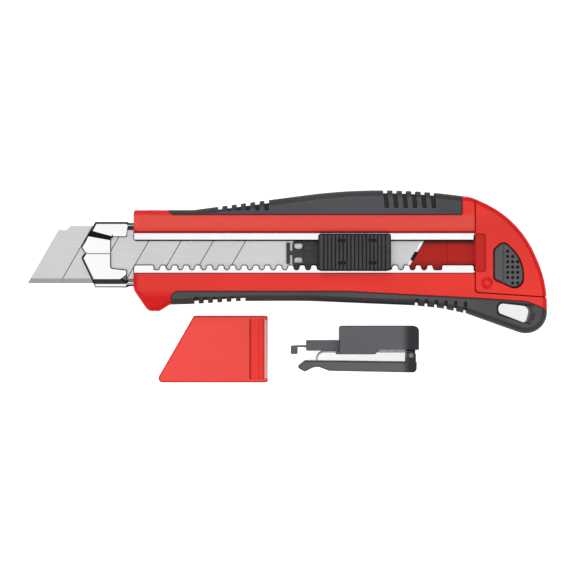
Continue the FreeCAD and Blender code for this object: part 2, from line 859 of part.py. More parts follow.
def tip_guard():
    solid = rounded_prism(guard_outline(0, guard_right), 0, guard_thickness, 0.8)
    middle = guard_thickness / 2
    slot = plate(guard_outline(guard_wall, guard_right + 5), middle - 0.9, middle + 0.9)
    low = guard_top - guard_height + 1.5
    high = guard_top - 1.2
    recess = [
        (guard_right - 8.0, low, 0.8),
        (guard_right - 1.7, low, 0.8),
        (guard_right - 1.7, high, 0.8),
        (guard_right - 8.0, high, 0.8),
    ]
    deeper = [(guard_right - 4.1, low + 0.3, 0.4), (guard_right - 1.9, low + 0.3, 0.4)]
    deeper += [(guard_right - 1.9, high - 0.3, 0.4), (guard_right - 4.1, high - 0.3, 0.4)]
    cuts = [
        slot,
        plate(recess, guard_thickness - 0.7, guard_thickness + 1),
        plate(deeper, guard_thickness - 1.2, guard_thickness + 1),
    ]
    return solid.cut(cuts)


# Belt clip


def clip_body():
    left = clip_pin_x - 31.0
    right = clip_pin_x + 3.4
    top = clip_pin_y + 12.65
    low = clip_pin_y + 0.45
    shallow = clip_pin_y + ear_radius + hinge_gap
    block_corners = [
        (left, top, 1.0),
        (left, low, 0.4),
        (left + 15.4, low, 0.6),
        (left + 17.1, shallow, 0.4),
        (right, shallow, 0.4),
        (right, top, 2.2),
    ]
    solid = rounded_prism(block_corners, 0, clip_width, 0.39)
    middle = clip_width / 2
    tongue = plate([(left - 14.35, low + 6.0, 0.5), (left + 1, low + 6.0, 0), (left + 1, low + 1.5, 0),
                    (left - 14.35, low + 1.5, 0.5)], middle - 6.0, middle + 6.0)
    bar = block(left - 18.3, left - 14, low + 3.0, low + 3.8, middle - 4.0, middle + 4.0)
    hook = plate([(left - 21.0, low + 3.6, 0.5), (left - 18.0, low + 3.8, 0.3), (left - 18.0, low, 0.5),
                  (left - 21.0, low, 0.5)], middle - 4.0, middle + 4.0)
    lug_low = ear_width + hinge_gap
    lug_high = middle
    lug = join([
        post(clip_pin_x, clip_pin_y, ear_radius + 0.1, lug_low, lug_high),
        block(clip_pin_x - 2.1, clip_pin_x + 2.1, clip_pin_y, shallow + 1, lug_low, lug_high),
    ])
    foot = block(left - 1.4, left + 1, low, low + 1.0, 0.4, clip_width - 0.4)
    solid = join([solid, foot, tongue, bar, hook, lug])
    wire_y = clip_pin_y + coil_radius()
    groove_y = wire_y + wire_radius + 0.05
    groove = block(left - 9.5, left + 19.0, low - 1, groove_y, wire_z() - 0.55, wire_z() + 0.55)
    hole = post(clip_pin_x, clip_pin_y, clip_pin_radius + 0.01, -1, clip_width + 1)
    return solid.cut([groove, hole])


def coil_radius():
    return clip_pin_radius + wire_radius + 0.05


def wire_z():
    return clip_width / 2 + 0.3 + wire_radius + (coil_turns - 1) * 2 * wire_radius


def clip_spring():
    """A wire coiled on the hinge pin, with a leg along the block that bends down to the arm."""
    rings = []
    for n in range(coil_turns):
        z = wire_z() - n * 2 * wire_radius * 0.98
        rings.append(Part.makeTorus(coil_radius(), wire_radius, FreeCAD.Vector(clip_pin_x, clip_pin_y, z)))
    y = clip_pin_y + coil_radius()
    end_x = clip_pin_x - 37.5
    bend = 3.3
    start = FreeCAD.Vector(clip_pin_x, y, wire_z())
    corner = FreeCAD.Vector(end_x, y, wire_z())
    low = FreeCAD.Vector(end_x - bend, y - bend, wire_z())
    slide = bend * math.sin(math.pi / 4)
    turn = FreeCAD.Vector(end_x - slide, y - bend + slide, wire_z())
    foot = FreeCAD.Vector(end_x - bend, y - 3.75, wire_z())
    path = Part.Wire([
        Part.LineSegment(start, corner).toShape(),
        Part.Arc(corner, turn, low).toShape(),
        Part.LineSegment(low, foot).toShape(),
    ])
    circle = Part.Wire(Part.makeCircle(wire_radius, start, FreeCAD.Vector(1, 0, 0)))
    leg = path.makePipeShell([circle], True, False)
    return join(rings + [leg])


def clip_arm():
    x = clip_pin_x
    y = clip_pin_y
    top = y - 2.95
    low = y - 7.45
    corners = [
        (x - 45.8, top + 0.6, 0.6),
        (x + 2.4, top, 0),
        (x + 2.4, low, 1.8),
        (x - 35.5, low + 0.75, 3.0),
        (x - 41.0, low + 2.9, 5.0),
        (x - 46.0, low + 0.35, 1.0),
        (x - 49.4, low + 2.3, 0.8),
    ]
    bar = rounded_prism(corners, 0, clip_width, 0.5)
    ears = []
    for z in (0, clip_width - ear_width):
        ears.append(post(x, y, ear_radius, z, z + ear_width))
        ears.append(block(x - ear_radius, x + ear_radius, top - 1.5, y, z, z + ear_width))
    solid = join([bar] + ears)
    return solid.cut(post(x, y, clip_pin_radius + 0.05, -1, clip_width + 1))


def clip_pin():
    return post(clip_pin_x, clip_pin_y, clip_pin_radius, 0.1, clip_width - 0.1)


def main():
    os.makedirs("parts", exist_ok=True)
    write("handle_body", handle_body())
    write("spine_grip", spine_grip())
    write("belly_grip", belly_grip())
    write("blade_channel", blade_channel())
    write("magazine_spring", magazine_spring())
    for n in range(spare_count):
        write(f"spare_blade_{n + 1}", blade(spare_tail, first_spare + n * pitch_up))
    write("slider_carrier", slider_carrier())
    write("blade_stud", blade_stud())
    write("working_blade", blade(working_tail, working_bottom))
    write("lock_pawl", lock_pawl())
    write("lock_leaf", lock_leaf())
    write("thumb_button", thumb_button())
    write("end_cap", end_cap())
    write("release_button", release_button())
    write("release_spring", release_spring())
    write("tip_guard", tip_guard())
    write("clip_body", clip_body())
    write("clip_arm", clip_arm())
    write("clip_pin", clip_pin())
    write("clip_spring", clip_spring())


main()
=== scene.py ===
# Snap off knife with its tip guard and belt clip: the finished surfaces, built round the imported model.
import json
import math

import bmesh
import bpy
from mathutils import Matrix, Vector

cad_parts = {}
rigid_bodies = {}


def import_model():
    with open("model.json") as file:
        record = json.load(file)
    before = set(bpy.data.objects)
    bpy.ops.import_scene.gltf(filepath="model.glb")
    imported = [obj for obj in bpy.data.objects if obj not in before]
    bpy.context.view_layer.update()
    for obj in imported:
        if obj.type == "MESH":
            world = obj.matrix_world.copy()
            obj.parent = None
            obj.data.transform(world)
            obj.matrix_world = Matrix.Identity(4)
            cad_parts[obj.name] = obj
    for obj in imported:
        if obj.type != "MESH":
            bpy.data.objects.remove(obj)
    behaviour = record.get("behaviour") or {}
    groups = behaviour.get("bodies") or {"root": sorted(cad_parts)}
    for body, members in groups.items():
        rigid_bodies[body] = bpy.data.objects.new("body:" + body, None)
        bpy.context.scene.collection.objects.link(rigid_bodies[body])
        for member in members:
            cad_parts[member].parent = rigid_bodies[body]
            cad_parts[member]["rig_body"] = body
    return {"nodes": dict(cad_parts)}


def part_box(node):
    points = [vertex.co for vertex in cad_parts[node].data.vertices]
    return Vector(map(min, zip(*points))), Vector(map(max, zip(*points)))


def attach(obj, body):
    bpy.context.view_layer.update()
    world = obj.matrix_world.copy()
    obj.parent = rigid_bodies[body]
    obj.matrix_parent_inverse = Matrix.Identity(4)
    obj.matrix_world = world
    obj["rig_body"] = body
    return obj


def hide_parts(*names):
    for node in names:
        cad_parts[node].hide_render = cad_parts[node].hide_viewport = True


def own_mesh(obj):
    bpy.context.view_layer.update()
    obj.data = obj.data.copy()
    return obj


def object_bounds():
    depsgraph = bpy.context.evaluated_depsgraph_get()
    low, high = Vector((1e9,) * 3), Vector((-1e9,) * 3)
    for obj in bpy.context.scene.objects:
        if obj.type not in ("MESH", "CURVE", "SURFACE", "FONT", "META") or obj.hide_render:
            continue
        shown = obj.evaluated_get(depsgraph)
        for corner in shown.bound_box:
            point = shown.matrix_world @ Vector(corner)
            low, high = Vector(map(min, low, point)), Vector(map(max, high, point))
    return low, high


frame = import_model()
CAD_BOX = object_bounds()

bl_info = {
    "name": "Snap off knife finisher",
    "version": (1, 0, 0),
    "blender": (4, 5, 0),
    "location": "View3D > Sidebar > Knife",
    "description": "Gives a snap off knife its moulded, rubber and steel surfaces, and its studio",
    "category": "Object",
}

MM = 0.001
SLANT = math.tan(math.radians(30.0))

# Places and lengths are in millimetres, in the frame that the model was made in.
SNAP_PITCH = 14.0
SEAM_X = 58.55

# Small edges, by what they are on.
PLATE_EDGE = 0.12
PIN_EDGE = 0.15
STUD_EDGE = 0.10
PAWL_EDGE = 0.05
LEAF_EDGE = 0.03

RIB_DEPTH = 0.5
GRIP_GROOVE_TOP = 1.0

# The field of dots on the release button: how many, how far apart, and where its middle is from the
# button's high X and low Y.
DOT_COLUMNS = 3
DOT_ROWS = 7
DOT_PITCH = (2.17, 2.28)
DOT_MIDDLE = (4.5, 8.6)
DOT_SQUASH = 0.30

# Tints, most of them painted light: painted shade, shadow, sheen and dark reflections
# Painted shade on the red mouldings' leaning faces, the cap's rounded rim and the bulge in front of the belly
# grip
SHADED_RED = (0.64, 0.001, 0.002, 1.0)
# Painted shade along the slot's edges
SLOT_SHADE_RED = (0.24, 0.001, 0.002, 1.0)
# Painted sheen on the rail along the spine
SHEEN_RED = (0.75, 0.070, 0.052, 1.0)
# Painted shade on the cap's tongue, which lies down under the rails
TONGUE_SHADE_RED = (0.46, 0.008, 0.004, 1.0)
# Painted shadow under the upper lip
UNDER_LIP_SHADOW_RED = (0.20, 0.003, 0.002, 1.0)
# Painted shade in the recess at the seam
RECESS_SHADE_RED = (0.54, 0.012, 0.008, 1.0)
# Painted shade on the guard's recessed mouth face
MOUTH_SHADE_RED = (0.85, 0.030, 0.020, 1.0)
# Painted shadow lines at the edges of the guard's mouth recess
MOUTH_SHADOW_LINE_RED = (0.36, 0.001, 0.002, 1.0)
PALE_RIM = (0.72, 0.36, 0.36, 1.0)
# Painted dark reflection on the chrome's leaning faces
EDGE_REFLECTION_BLACK = (0.035, 0.035, 0.04, 1.0)
# Painted shade and shadow on the chromed sheet
SHEET_SHADE_BLACK = (0.02, 0.017, 0.015, 1.0)
# Painted dark reflection on the crease's slope
CREASE_REFLECTION_BLACK = (0.010, 0.009, 0.008, 1.0)
SPRING_STEEL = (0.55, 0.55, 0.57, 1.0)
MAGAZINE_STEEL = (0.92, 0.92, 0.93, 1.0)
WIRE_STEEL = (0.6, 0.6, 0.62, 1.0)
PIN_STEEL = (0.20, 0.20, 0.21, 1.0)

# Tinted places, all of them painted light: the low corner, the high corner, how softly the tint starts, and the
# tint.
HANDLE_TINTS = (
    # Painted shade along the slot's upper and lower edges
    ((-91.0, 9.0, 12.6), (SEAM_X, 10.15, 18.0), 0.10, SLOT_SHADE_RED),  # the slot's upper edge
    ((-91.0, -8.25, 12.6), (SEAM_X, -7.0, 18.0), 0.10, SLOT_SHADE_RED),  # and its lower edge
    # Painted shade on the bulge in front of the belly grip, where it rounds away
    ((-120.0, -60.0, -5.0), (-50.0, -16.8, 30.0), 2.6, SHADED_RED),  # the bulge in front of the belly grip
    # Painted sheen on the rail along the spine
    ((-90.5, 11.0, 12.6), (SEAM_X, 17.2, 30.0), 1.0, SHEEN_RED),  # the rail along the spine
)
CAP_TINTS = (
    # Painted shade on the tongue, which lies down under the rails
    ((20.0, -12.6, 4.0), (SEAM_X - 0.2, 12.6, 11.0), 0.3, TONGUE_SHADE_RED),  # the tongue
    # Painted shadow on the tongue's side under the upper lip
    ((20.0, 4.6, 4.0), (SEAM_X - 0.2, 7.0, 11.0), 0.6, UNDER_LIP_SHADOW_RED),  # its side under the upper lip
    # Painted shade in the recess at the seam
    ((SEAM_X - 1.0, -7.6, 13.0), (SEAM_X + 4.6, 9.1, 14.3), 0.1, RECESS_SHADE_RED),  # the recess at the seam
)
# Places on the chromed sheet painted black as shade: the corners and the softness.
CHANNEL_SHADES = (
    # Painted shade on the floor under the blades, and a painted shadow line along the upper lip's edge
    ((-90.0, -12.9, 4.9), (60.0, 12.9, 5.1), 0.04),  # the floor under the blades
    ((-89.0, 5.7, 11.0), (57.4, 6.52, 12.7), 0.08),  # the upper lip's edge
)
# The crease under the nose's upper flap, painted black as a dark reflection on its slope: its lower and upper
# lines, each a height at X = 0 and a slope, then where it starts and ends along the knife and how high over the
# floor it starts.
CREASE = ((-11.42, -0.177), (-18.78, -0.2706), -110.5, -98.7, 11.2)
# The rounded end of the cap: the middle and radius of its arc, and how softly the painted shade on its rim
# starts.
CAP_RIM = ((44.9, -18.1), 43.2, 1.0)
# Marks at the guard's mouth: painted shade on the recess face, painted shadow lines at the recess's two edges,
# and a paler strip on the rim. For each: where it starts and ends back from the mouth, how far it stays from
# the low and the high side, and its tint.
GUARD_MARKS = (
    # Painted shade on the recess face, then painted shadow lines at its two edges, then a paler strip on the
    # rim
    (7.6, 1.6, 1.6, 1.6, MOUTH_SHADE_RED),
    (7.9, 7.3, 1.4, 1.4, MOUTH_SHADOW_LINE_RED),
    (1.8, 1.5, 1.4, 1.4, MOUTH_SHADOW_LINE_RED),
    (1.4, -1.0, 1.8, 1.8, PALE_RIM),
)

# The studio, in metres. The sky's greys go from the horizon, at 0, to straight up, at 1.
SENSOR = 36.0
AIM = (0.0004, -0.0006, 0.015)
FLOOR_HALF = 4.0
FLOOR_GLOW = 0.75
SOFTBOX_SIZE = 0.5
SOFTBOXES = {"back": (-0.2, 1.0, 0.65), "left": (-1.0, -0.2, 0.65), "right": (0.9, -0.6, 0.65)}
SKY_GREYS = ((0.0, 0.25), (0.30, 0.08), (0.44, 0.12), (0.56, 0.50), (0.80, 1.0), (1.0, 1.0))


# Shader and geometry trees as Python expressions


class Value:
    """One socket of a node tree, which arithmetic can be written on."""

    def __init__(self, board, socket):
        self.board = board
        self.socket = socket

    def _maths(self, operation, *others):
        inputs = {i: other for i, other in enumerate((self, *others))}
        return self.board.node("ShaderNodeMath", {"operation": operation}, inputs)

    def __add__(self, other):
        return self._maths("ADD", other)

    __radd__ = __add__

    def __mul__(self, other):
        return self._maths("MULTIPLY", other)

    __rmul__ = __mul__

    def __sub__(self, other):
        return self._maths("SUBTRACT", other)

    def __rsub__(self, other):
        return self.board.node("ShaderNodeMath", {"operation": "SUBTRACT"}, {0: other, 1: self})

    def __truediv__(self, other):
        return self._maths("DIVIDE", other)

    def __gt__(self, other):
        return self._maths("GREATER_THAN", other)

    def between(self, low, high):
        """0 below low, 1 above high, and a smooth rise between them."""
        settings = {"interpolation_type": "SMOOTHSTEP"}
        inputs = {"Value": self, "From Min": low, "From Max": high}
        return self.board.node("ShaderNodeMapRange", settings, inputs)

    def fract(self):
        return self._maths("FRACT")

    def size(self):
        return self._maths("ABSOLUTE")


class Board:
    """A node tree, and the one way that a node is added to it."""

    def __init__(self, tree):
        self.tree = tree

    def node(self, kind, settings=None, inputs=None, output=0):
        made = self.tree.nodes.new(kind)
        for key, value in (settings or {}).items():
            if key == "stops":
                self._ramp(made.color_ramp, value)
            else:
                setattr(made, key, value)
        for key, value in (inputs or {}).items():
            if isinstance(value, Value):
                self.tree.links.new(value.socket, made.inputs[key])
            else:
                made.inputs[key].default_value = value
        return Value(self, made.outputs[output]) if made.outputs else made

    @staticmethod
    def _ramp(ramp, stops):
        while len(ramp.elements) < len(stops):
            ramp.elements.new(0.5)
        for element, (place, colour) in zip(ramp.elements, stops):
            element.position = place
            element.color = colour


class Finish(Board):
    """A material whose pattern reads object coordinates, in metres."""

    def __init__(self, name):
        self.material = bpy.data.materials.new(name)
        self.material.use_nodes = True
        super().__init__(self.material.node_tree)
        self.tree.nodes.clear()
        self.place = self.node("ShaderNodeTexCoord", output=3)
        self.x, self.y, self.z = self.parts(self.place)

    def parts(self, vector):
        split = self.node("ShaderNodeSeparateXYZ", {}, {0: vector}).socket.node
        return [Value(self, socket) for socket in split.outputs]

    def lean(self):
        """1 on faces that lean between level and upright, such as rounded and chamfered edges."""
        upright = self.parts(self.node("ShaderNodeTexCoord", output=1))[2].size()
        return (1.0 - upright.between(0.962, 0.99)) * upright.between(0.15, 0.35)

    def patch(self, low, high, soft=0.05):
        """1 inside a box whose corners are in millimetres, with soft sides."""
        inside = 1.0
        for axis, start, end in zip((self.x, self.y, self.z), low, high):
            rise = axis.between((start - soft) * MM, (start + soft) * MM)
            fall = axis.between((end - soft) * MM, (end + soft) * MM)
            inside = rise * (1.0 - fall) * inside
        return inside

    def strip(self, lower, upper, low_x, high_x, low_z):
        """1 between two slanting lines, each a height at x = 0 and a slope, in millimetres."""
        inside = self.x.between(low_x * MM, (low_x + 0.1) * MM)
        inside = inside * (1.0 - self.x.between((high_x - 0.1) * MM, high_x * MM))
        above = self.y - self.x * lower[1] - lower[0] * MM
        below = self.y - self.x * upper[1] - upper[0] * MM
        inside = inside * above.between(-0.08 * MM, 0.08 * MM) * (1.0 - below.between(-0.08 * MM, 0.08 * MM))
        return inside * self.z.between((low_z - 0.1) * MM, low_z * MM)

    def beyond(self, middle, radius, soft):
        """1 farther than radius from an upright line, in millimetres."""
        across = self.x - middle[0] * MM
        along = self.y - middle[1] * MM
        away = (across * across + along * along) / (radius * MM)
        return away.between((radius - soft) * MM, (radius + soft) * MM)

    def noise(self, scale, detail=3.0, roughness=0.55, stretch=(1.0, 1.0, 1.0)):
        """Grey noise about 0.5, with scale waves to the metre."""
        settings = {"vector_type": "POINT"}
        place = self.node("ShaderNodeMapping", settings, {"Vector": self.place, "Scale": stretch})
        inputs = {"Vector": place, "Scale": scale, "Detail": detail, "Roughness": roughness}
        return self.node("ShaderNodeTexNoise", {"noise_dimensions": "3D"}, inputs)

    def mix(self, factor, one, two):
        inputs = {0: factor, 6: one, 7: two}
        return self.node("ShaderNodeMix", {"data_type": "RGBA"}, inputs, output=2)

    def bump(self, height, distance, strength=1.0):
        return self.node("ShaderNodeBump", {}, {"Height": height, "Distance": distance, "Strength": strength})

    def surface(self, colour, roughness, metallic=0.0, normal=None, **fixed):
        inputs = {"Base Color": colour, "Roughness": roughness, "Metallic": metallic}
        if normal is not None:
            inputs["Normal"] = normal
        inputs.update({key.replace("_", " "): value for key, value in fixed.items()})
        shader = self.node("ShaderNodeBsdfPrincipled", {}, inputs)
        self.node("ShaderNodeOutputMaterial", {}, {"Surface": shader})
        return self.material


def shade(colour, factor):
    return (*[channel * factor for channel in colour[:3]], 1.0)


# Finishes


def moulded_plastic(
        name, colour, edge_colour, gloss=0.38, grain=2600.0, depth=0.012, patches=(), shine=0.42, rim=None):
    """Hard moulded plastic: a faint spark-eroded grain, flow marks, a few dull scuffs, and painted shade on its
    leaning edges, its rim and its tinted places.
    """
    f = Finish(name)
    flow = f.noise(26.0, 2.0, stretch=(0.35, 1.0, 1.0))
    streak = f.noise(210.0, 2.0, stretch=(0.10, 1.0, 1.0))
    scuff = f.noise(190.0, 4.0, 0.7, stretch=(0.25, 1.0, 1.0)).between(0.60, 0.72)
    skin = f.noise(grain, 2.0)
    base = f.mix(flow.between(0.3, 0.7), shade(colour, 0.90), shade(colour, 1.06))
    base = f.mix(streak.between(0.4, 0.7) * 0.35, base, shade(colour, 0.86))
    base = f.mix(scuff * 0.10, base, shade(colour, 1.25))
    # Painted shade on the rounded rim
    if rim:
        base = f.mix(f.beyond(*rim) * 0.85, base, edge_colour)
    # Painted shade on the faces that lean away, such as rounded and chamfered edges
    base = f.mix(f.lean() * 0.85, base, edge_colour)
    # The tinted places: painted shade, shadow and sheen
    for low, high, soft, tint in patches:
        base = f.mix(f.patch(low, high, soft), base, tint)
    roughness = gloss + (skin - 0.5) * 0.10 + scuff * 0.10
    normal = f.bump(skin + scuff * 0.3, depth * MM, 0.8)
    return f.surface(base, roughness, 0.0, normal, Specular_IOR_Level=shine)


def ribbed_plastic(name, colour, crest, depth):
    """Black moulding whose ribs keep their own black on the crests, with painted shade in the grooves, deeper
    the lower they lie, and on the leaning faces.
    """
    f = Finish(name)
    skin = f.noise(2200.0, 2.0)
    cloud = f.noise(120.0, 3.0)
    # Painted shade that deepens the lower the surface lies, in the grooves and pockets
    height = f.z.between(crest - depth * 0.8, crest - depth * 0.1)
    base = f.mix(cloud.between(0.3, 0.7), shade(colour, 0.85), shade(colour, 1.15))
    base = f.mix(height, shade(colour, 0.10), base)
    # Painted shade on the leaning faces
    base = f.mix(f.lean() * 0.75, base, shade(colour, 0.25))
    roughness = 0.46 + (skin - 0.5) * 0.14
    normal = f.bump(skin, 0.02 * MM, 0.8)
    return f.surface(base, roughness, 0.0, normal, Specular_IOR_Level=0.22)


def soft_rubber(name, colour, groove_top):
    """Soft grip moulding: matt, slightly dusty in its pores, with worn shiny patches, and painted shade on its
    leaning edges and in its grooves.
    """
    f = Finish(name)
    pores = f.noise(3800.0, 2.0)
    cloud = f.noise(60.0, 3.0, stretch=(0.5, 1.0, 1.0))
    worn = f.noise(34.0, 3.0, stretch=(0.5, 1.0, 1.0)).between(0.52, 0.66)
    # Painted shade in the grooves between the ribs
    groove_shade = 1.0 - f.z.between(groove_top - 0.35 * MM, groove_top)
    groove_shade = groove_shade * f.z.between(groove_top - 0.9 * MM, groove_top - 0.7 * MM)
    base = f.mix(cloud.between(0.3, 0.7), shade(colour, 0.84), shade(colour, 1.12))
    base = f.mix(pores.between(0.35, 0.75) * 0.25, base, shade(colour, 1.45))
    base = f.mix(groove_shade, base, shade(colour, 0.22))
    # Painted shade on the leaning faces
    base = f.mix(f.lean() * 0.8, base, shade(colour, 0.35))
    roughness = 0.62 - worn * 0.10 + (pores - 0.5) * 0.12
    normal = f.bump(pores, 0.035 * MM, 0.8)
    return f.surface(base, roughness, 0.0, normal, Specular_IOR_Level=0.32)


def chromed_sheet(name, colour, shades):
    """Chromed sheet steel: bright faces, a painted dark reflection on the rolled edges and the crease, painted
    shade on the floor and along the upper lip, faint rolling lines and light rubbing marks.
    """
    f = Finish(name)
    lines = f.noise(1500.0, 3.0, 0.6, stretch=(0.02, 1.0, 1.0))
    haze = f.noise(70.0, 3.0)
    rub = f.noise(420.0, 4.0, 0.7, stretch=(0.08, 1.0, 1.0)).between(0.62, 0.74)
    base = f.mix(haze.between(0.35, 0.7), shade(colour, 0.95), shade(colour, 1.0))
    # Painted dark reflection on the leaning faces of the rolled edges
    base = f.mix(f.lean(), base, EDGE_REFLECTION_BLACK)
    # Painted shade on the channel's floor and painted shadow along the upper lip
    for place in shades:
        base = f.mix(f.patch(*place), base, SHEET_SHADE_BLACK)
    # Painted dark reflection on the crease's slope
    base = f.mix(f.strip(*CREASE), base, CREASE_REFLECTION_BLACK)
    roughness = 0.10 + haze * 0.07 + rub * 0.12
    normal = f.bump(lines, 0.004 * MM, 0.5)
    return f.surface(base, roughness, 1.0, normal)


def ground_blade(name, colour, edge_colour, box, honed_height):
    """Blade steel: satin flats ground along the blade, a darker honed edge and painted shade in the score
    lines.
    """
    f = Finish(name)
    low, high = box
    edge_top = low.y + honed_height
    along = f.noise(2600.0, 3.0, 0.6, stretch=(0.03, 1.0, 1.0))
    across = f.noise(3200.0, 2.0, 0.6, stretch=(1.0, 0.05, 1.0))
    cloud = f.noise(45.0, 2.0)
    honed = 1.0 - f.y.between(edge_top - 0.06 * MM, edge_top + 0.06 * MM)
    burr = 1.0 - f.y.between(low.y + 0.1 * MM, low.y + 0.4 * MM)
    tip = low.x + (high.y - low.y) / 2 * SLANT
    count = (f.x - f.y * SLANT - tip) / (SNAP_PITCH * MM)
    away = ((count + 0.5).fract() - 0.5).size() * SNAP_PITCH
    score = (1.0 - away.between(0.10, 0.22)) * (count > 0.5) * (1.0 - (count > 6.5)) * (1.0 - honed)
    flat = f.mix(along.between(0.3, 0.7), shade(colour, 0.95), shade(colour, 1.04))
    flat = f.mix(cloud.between(0.4, 0.65) * 0.3, flat, shade(colour, 0.9))
    # Painted shade in the score lines
    flat = f.mix(score * 0.9, flat, shade(colour, 0.10))
    edge = f.mix(across.between(0.3, 0.7), shade(edge_colour, 0.9), shade(edge_colour, 1.12))
    edge = f.mix(burr * 0.5, edge, shade(edge_colour, 1.5))
    base = f.mix(honed, flat, edge)
    roughness = 0.34 + along * 0.10 - honed * 0.08 + score * 0.2
    normal = f.bump(along * (1.0 - honed) + across * honed, 0.006 * MM, 0.6)
    return f.surface(base, roughness, 1.0, normal)


def blackened_steel(name, colour):
    """Black oxide on pressed steel, rubbed brighter in streaks along the slide."""
    f = Finish(name)
    cloud = f.noise(160.0, 3.0)
    rub = f.noise(900.0, 3.0, 0.7, stretch=(0.06, 1.0, 1.0)).between(0.56, 0.72)
    base = f.mix(cloud.between(0.3, 0.7), shade(colour, 0.85), shade(colour, 1.15))
    base = f.mix(rub * 0.35, base, shade(colour, 2.0))
    # Painted shade on the leaning faces
    base = f.mix(f.lean() * 0.9, base, shade(colour, 0.15))
    roughness = 0.42 + (cloud - 0.5) * 0.2 - rub * 0.1
    normal = f.bump(cloud + rub, 0.01 * MM, 0.4)
    return f.surface(base, roughness, 0.25, normal, Specular_IOR_Level=0.25)


def bright_spring(name, colour):
    """Bright spring steel with drawing lines."""
    f = Finish(name)
    lines = f.noise(2800.0, 2.0, 0.6, stretch=(0.05, 1.0, 1.0))
    cloud = f.noise(300.0, 3.0)
    base = f.mix(cloud.between(0.3, 0.7), shade(colour, 0.85), shade(colour, 1.08))
    roughness = 0.22 + lines * 0.14
    return f.surface(base, roughness, 1.0, f.bump(lines, 0.003 * MM, 0.5))


# Pieces


def rounded_copy(node, name, material, edge, angle=28.0, segments=2, crease=32.0, clamp=True):
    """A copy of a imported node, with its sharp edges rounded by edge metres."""
    mesh = frame["nodes"][node].data.copy()
    mesh.name = name
    shape = bmesh.new()
    shape.from_mesh(mesh)
    bmesh.ops.remove_doubles(shape, verts=shape.verts, dist=2e-6)
    flat = math.radians(0.4)
    bmesh.ops.dissolve_limit(shape, angle_limit=flat, verts=shape.verts, edges=shape.edges)
    for face in shape.faces:
        face.smooth = True
    shape.to_mesh(mesh)
    shape.free()
    piece = bpy.data.objects.new(name, mesh)
    bpy.context.scene.collection.objects.link(piece)
    if edge:
        bevel = piece.modifiers.new("edge", "BEVEL")
        bevel.width = edge
        bevel.segments = segments
        bevel.limit_method = "ANGLE"
        bevel.angle_limit = math.radians(angle)
        bevel.use_clamp_overlap = clamp
        bevel.miter_outer = "MITER_ARC"
    bake(piece)
    share_normals(piece.data, crease)
    dress(piece, material)
    return piece


def share_normals(mesh, angle):
    """Smooth shading with the flat faces kept flat, and edges over angle degrees kept sharp."""
    shape = bmesh.new()
    shape.from_mesh(mesh)
    limit = math.radians(angle)
    for edge in shape.edges:
        edge.smooth = len(edge.link_faces) == 2 and edge.calc_face_angle(0.0) < limit
    for face in shape.faces:
        face.smooth = True
    shape.to_mesh(mesh)
    shape.free()
    piece = bpy.data.objects.new("shading", mesh)
    bpy.context.scene.collection.objects.link(piece)
    weighted = piece.modifiers.new("shading", "WEIGHTED_NORMAL")
    weighted.keep_sharp = True
    weighted.weight = 60
    settled = settled_mesh(piece)
    normals = [tuple(corner.vector) for corner in settled.corner_normals]
    bpy.data.objects.remove(piece)
    mesh.normals_split_custom_set(normals)
    bpy.data.meshes.remove(settled)


def settled_mesh(piece):
    bpy.context.view_layer.update()
    graph = bpy.context.evaluated_depsgraph_get()
    return bpy.data.meshes.new_from_object(piece.evaluated_get(graph), depsgraph=graph)


def bake(piece):
    """Turns a piece and its modifiers into a plain mesh."""
    mesh = settled_mesh(piece)
    piece.modifiers.clear()
    old = piece.data
    piece.data = mesh
    bpy.data.meshes.remove(old)


def dress(piece, material):
    piece.data.materials.clear()
    piece.data.materials.append(material)
    for face in piece.data.polygons:
        face.material_index = 0


def seat(piece, node):
    """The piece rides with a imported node's body, and takes its place."""
    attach(piece, frame["nodes"][node]["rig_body"])
    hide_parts(node)


def finish_node(node, name, material, edge, **how):
    piece = rounded_copy(node, name, material, edge * MM, **how)
    seat(piece, node)
    return piece


def flatten(piece):
    """Gives a leaf spring a mesh of its own."""
    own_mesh(piece)


def repeat_tree(name, numbers):
    """A geometry tree with one named number for each size, and its input node."""
    tree = bpy.data.node_groups.new(name, "GeometryNodeTree")
    tree.interface.new_socket("Geometry", in_out="INPUT", socket_type="NodeSocketGeometry")
    for label, value in numbers.items():
        whole = isinstance(value, int)
        kind = "NodeSocketInt" if whole else "NodeSocketFloat"
        socket = tree.interface.new_socket(label, in_out="INPUT", socket_type=kind)
        socket.default_value = value
    tree.interface.new_socket("Geometry", in_out="OUTPUT", socket_type="NodeSocketGeometry")
    board = Board(tree)
    start = tree.nodes.new("NodeGroupInput")
    given = {socket.name: Value(board, socket) for socket in start.outputs if socket.name}
    return board, given


def end_tree(board, instances, material):
    real = board.node("GeometryNodeRealizeInstances", {}, {"Geometry": instances})
    painted = board.node("GeometryNodeSetMaterial", {}, {"Geometry": real, "Material": material})
    end = board.tree.nodes.new("NodeGroupOutput")
    board.tree.links.new(painted.socket, end.inputs[0])


def grown(name, tree, numbers):
    """An object whose mesh comes from a geometry tree, baked plain."""
    piece = bpy.data.objects.new(name, bpy.data.meshes.new(name))
    bpy.context.scene.collection.objects.link(piece)
    modifier = piece.modifiers.new("repeat", "NODES")
    modifier.node_group = tree
    for socket in tree.interface.items_tree:
        if socket.in_out == "INPUT" and socket.name in numbers:
            modifier[socket.identifier] = numbers[socket.name]
    bake(piece)
    return piece


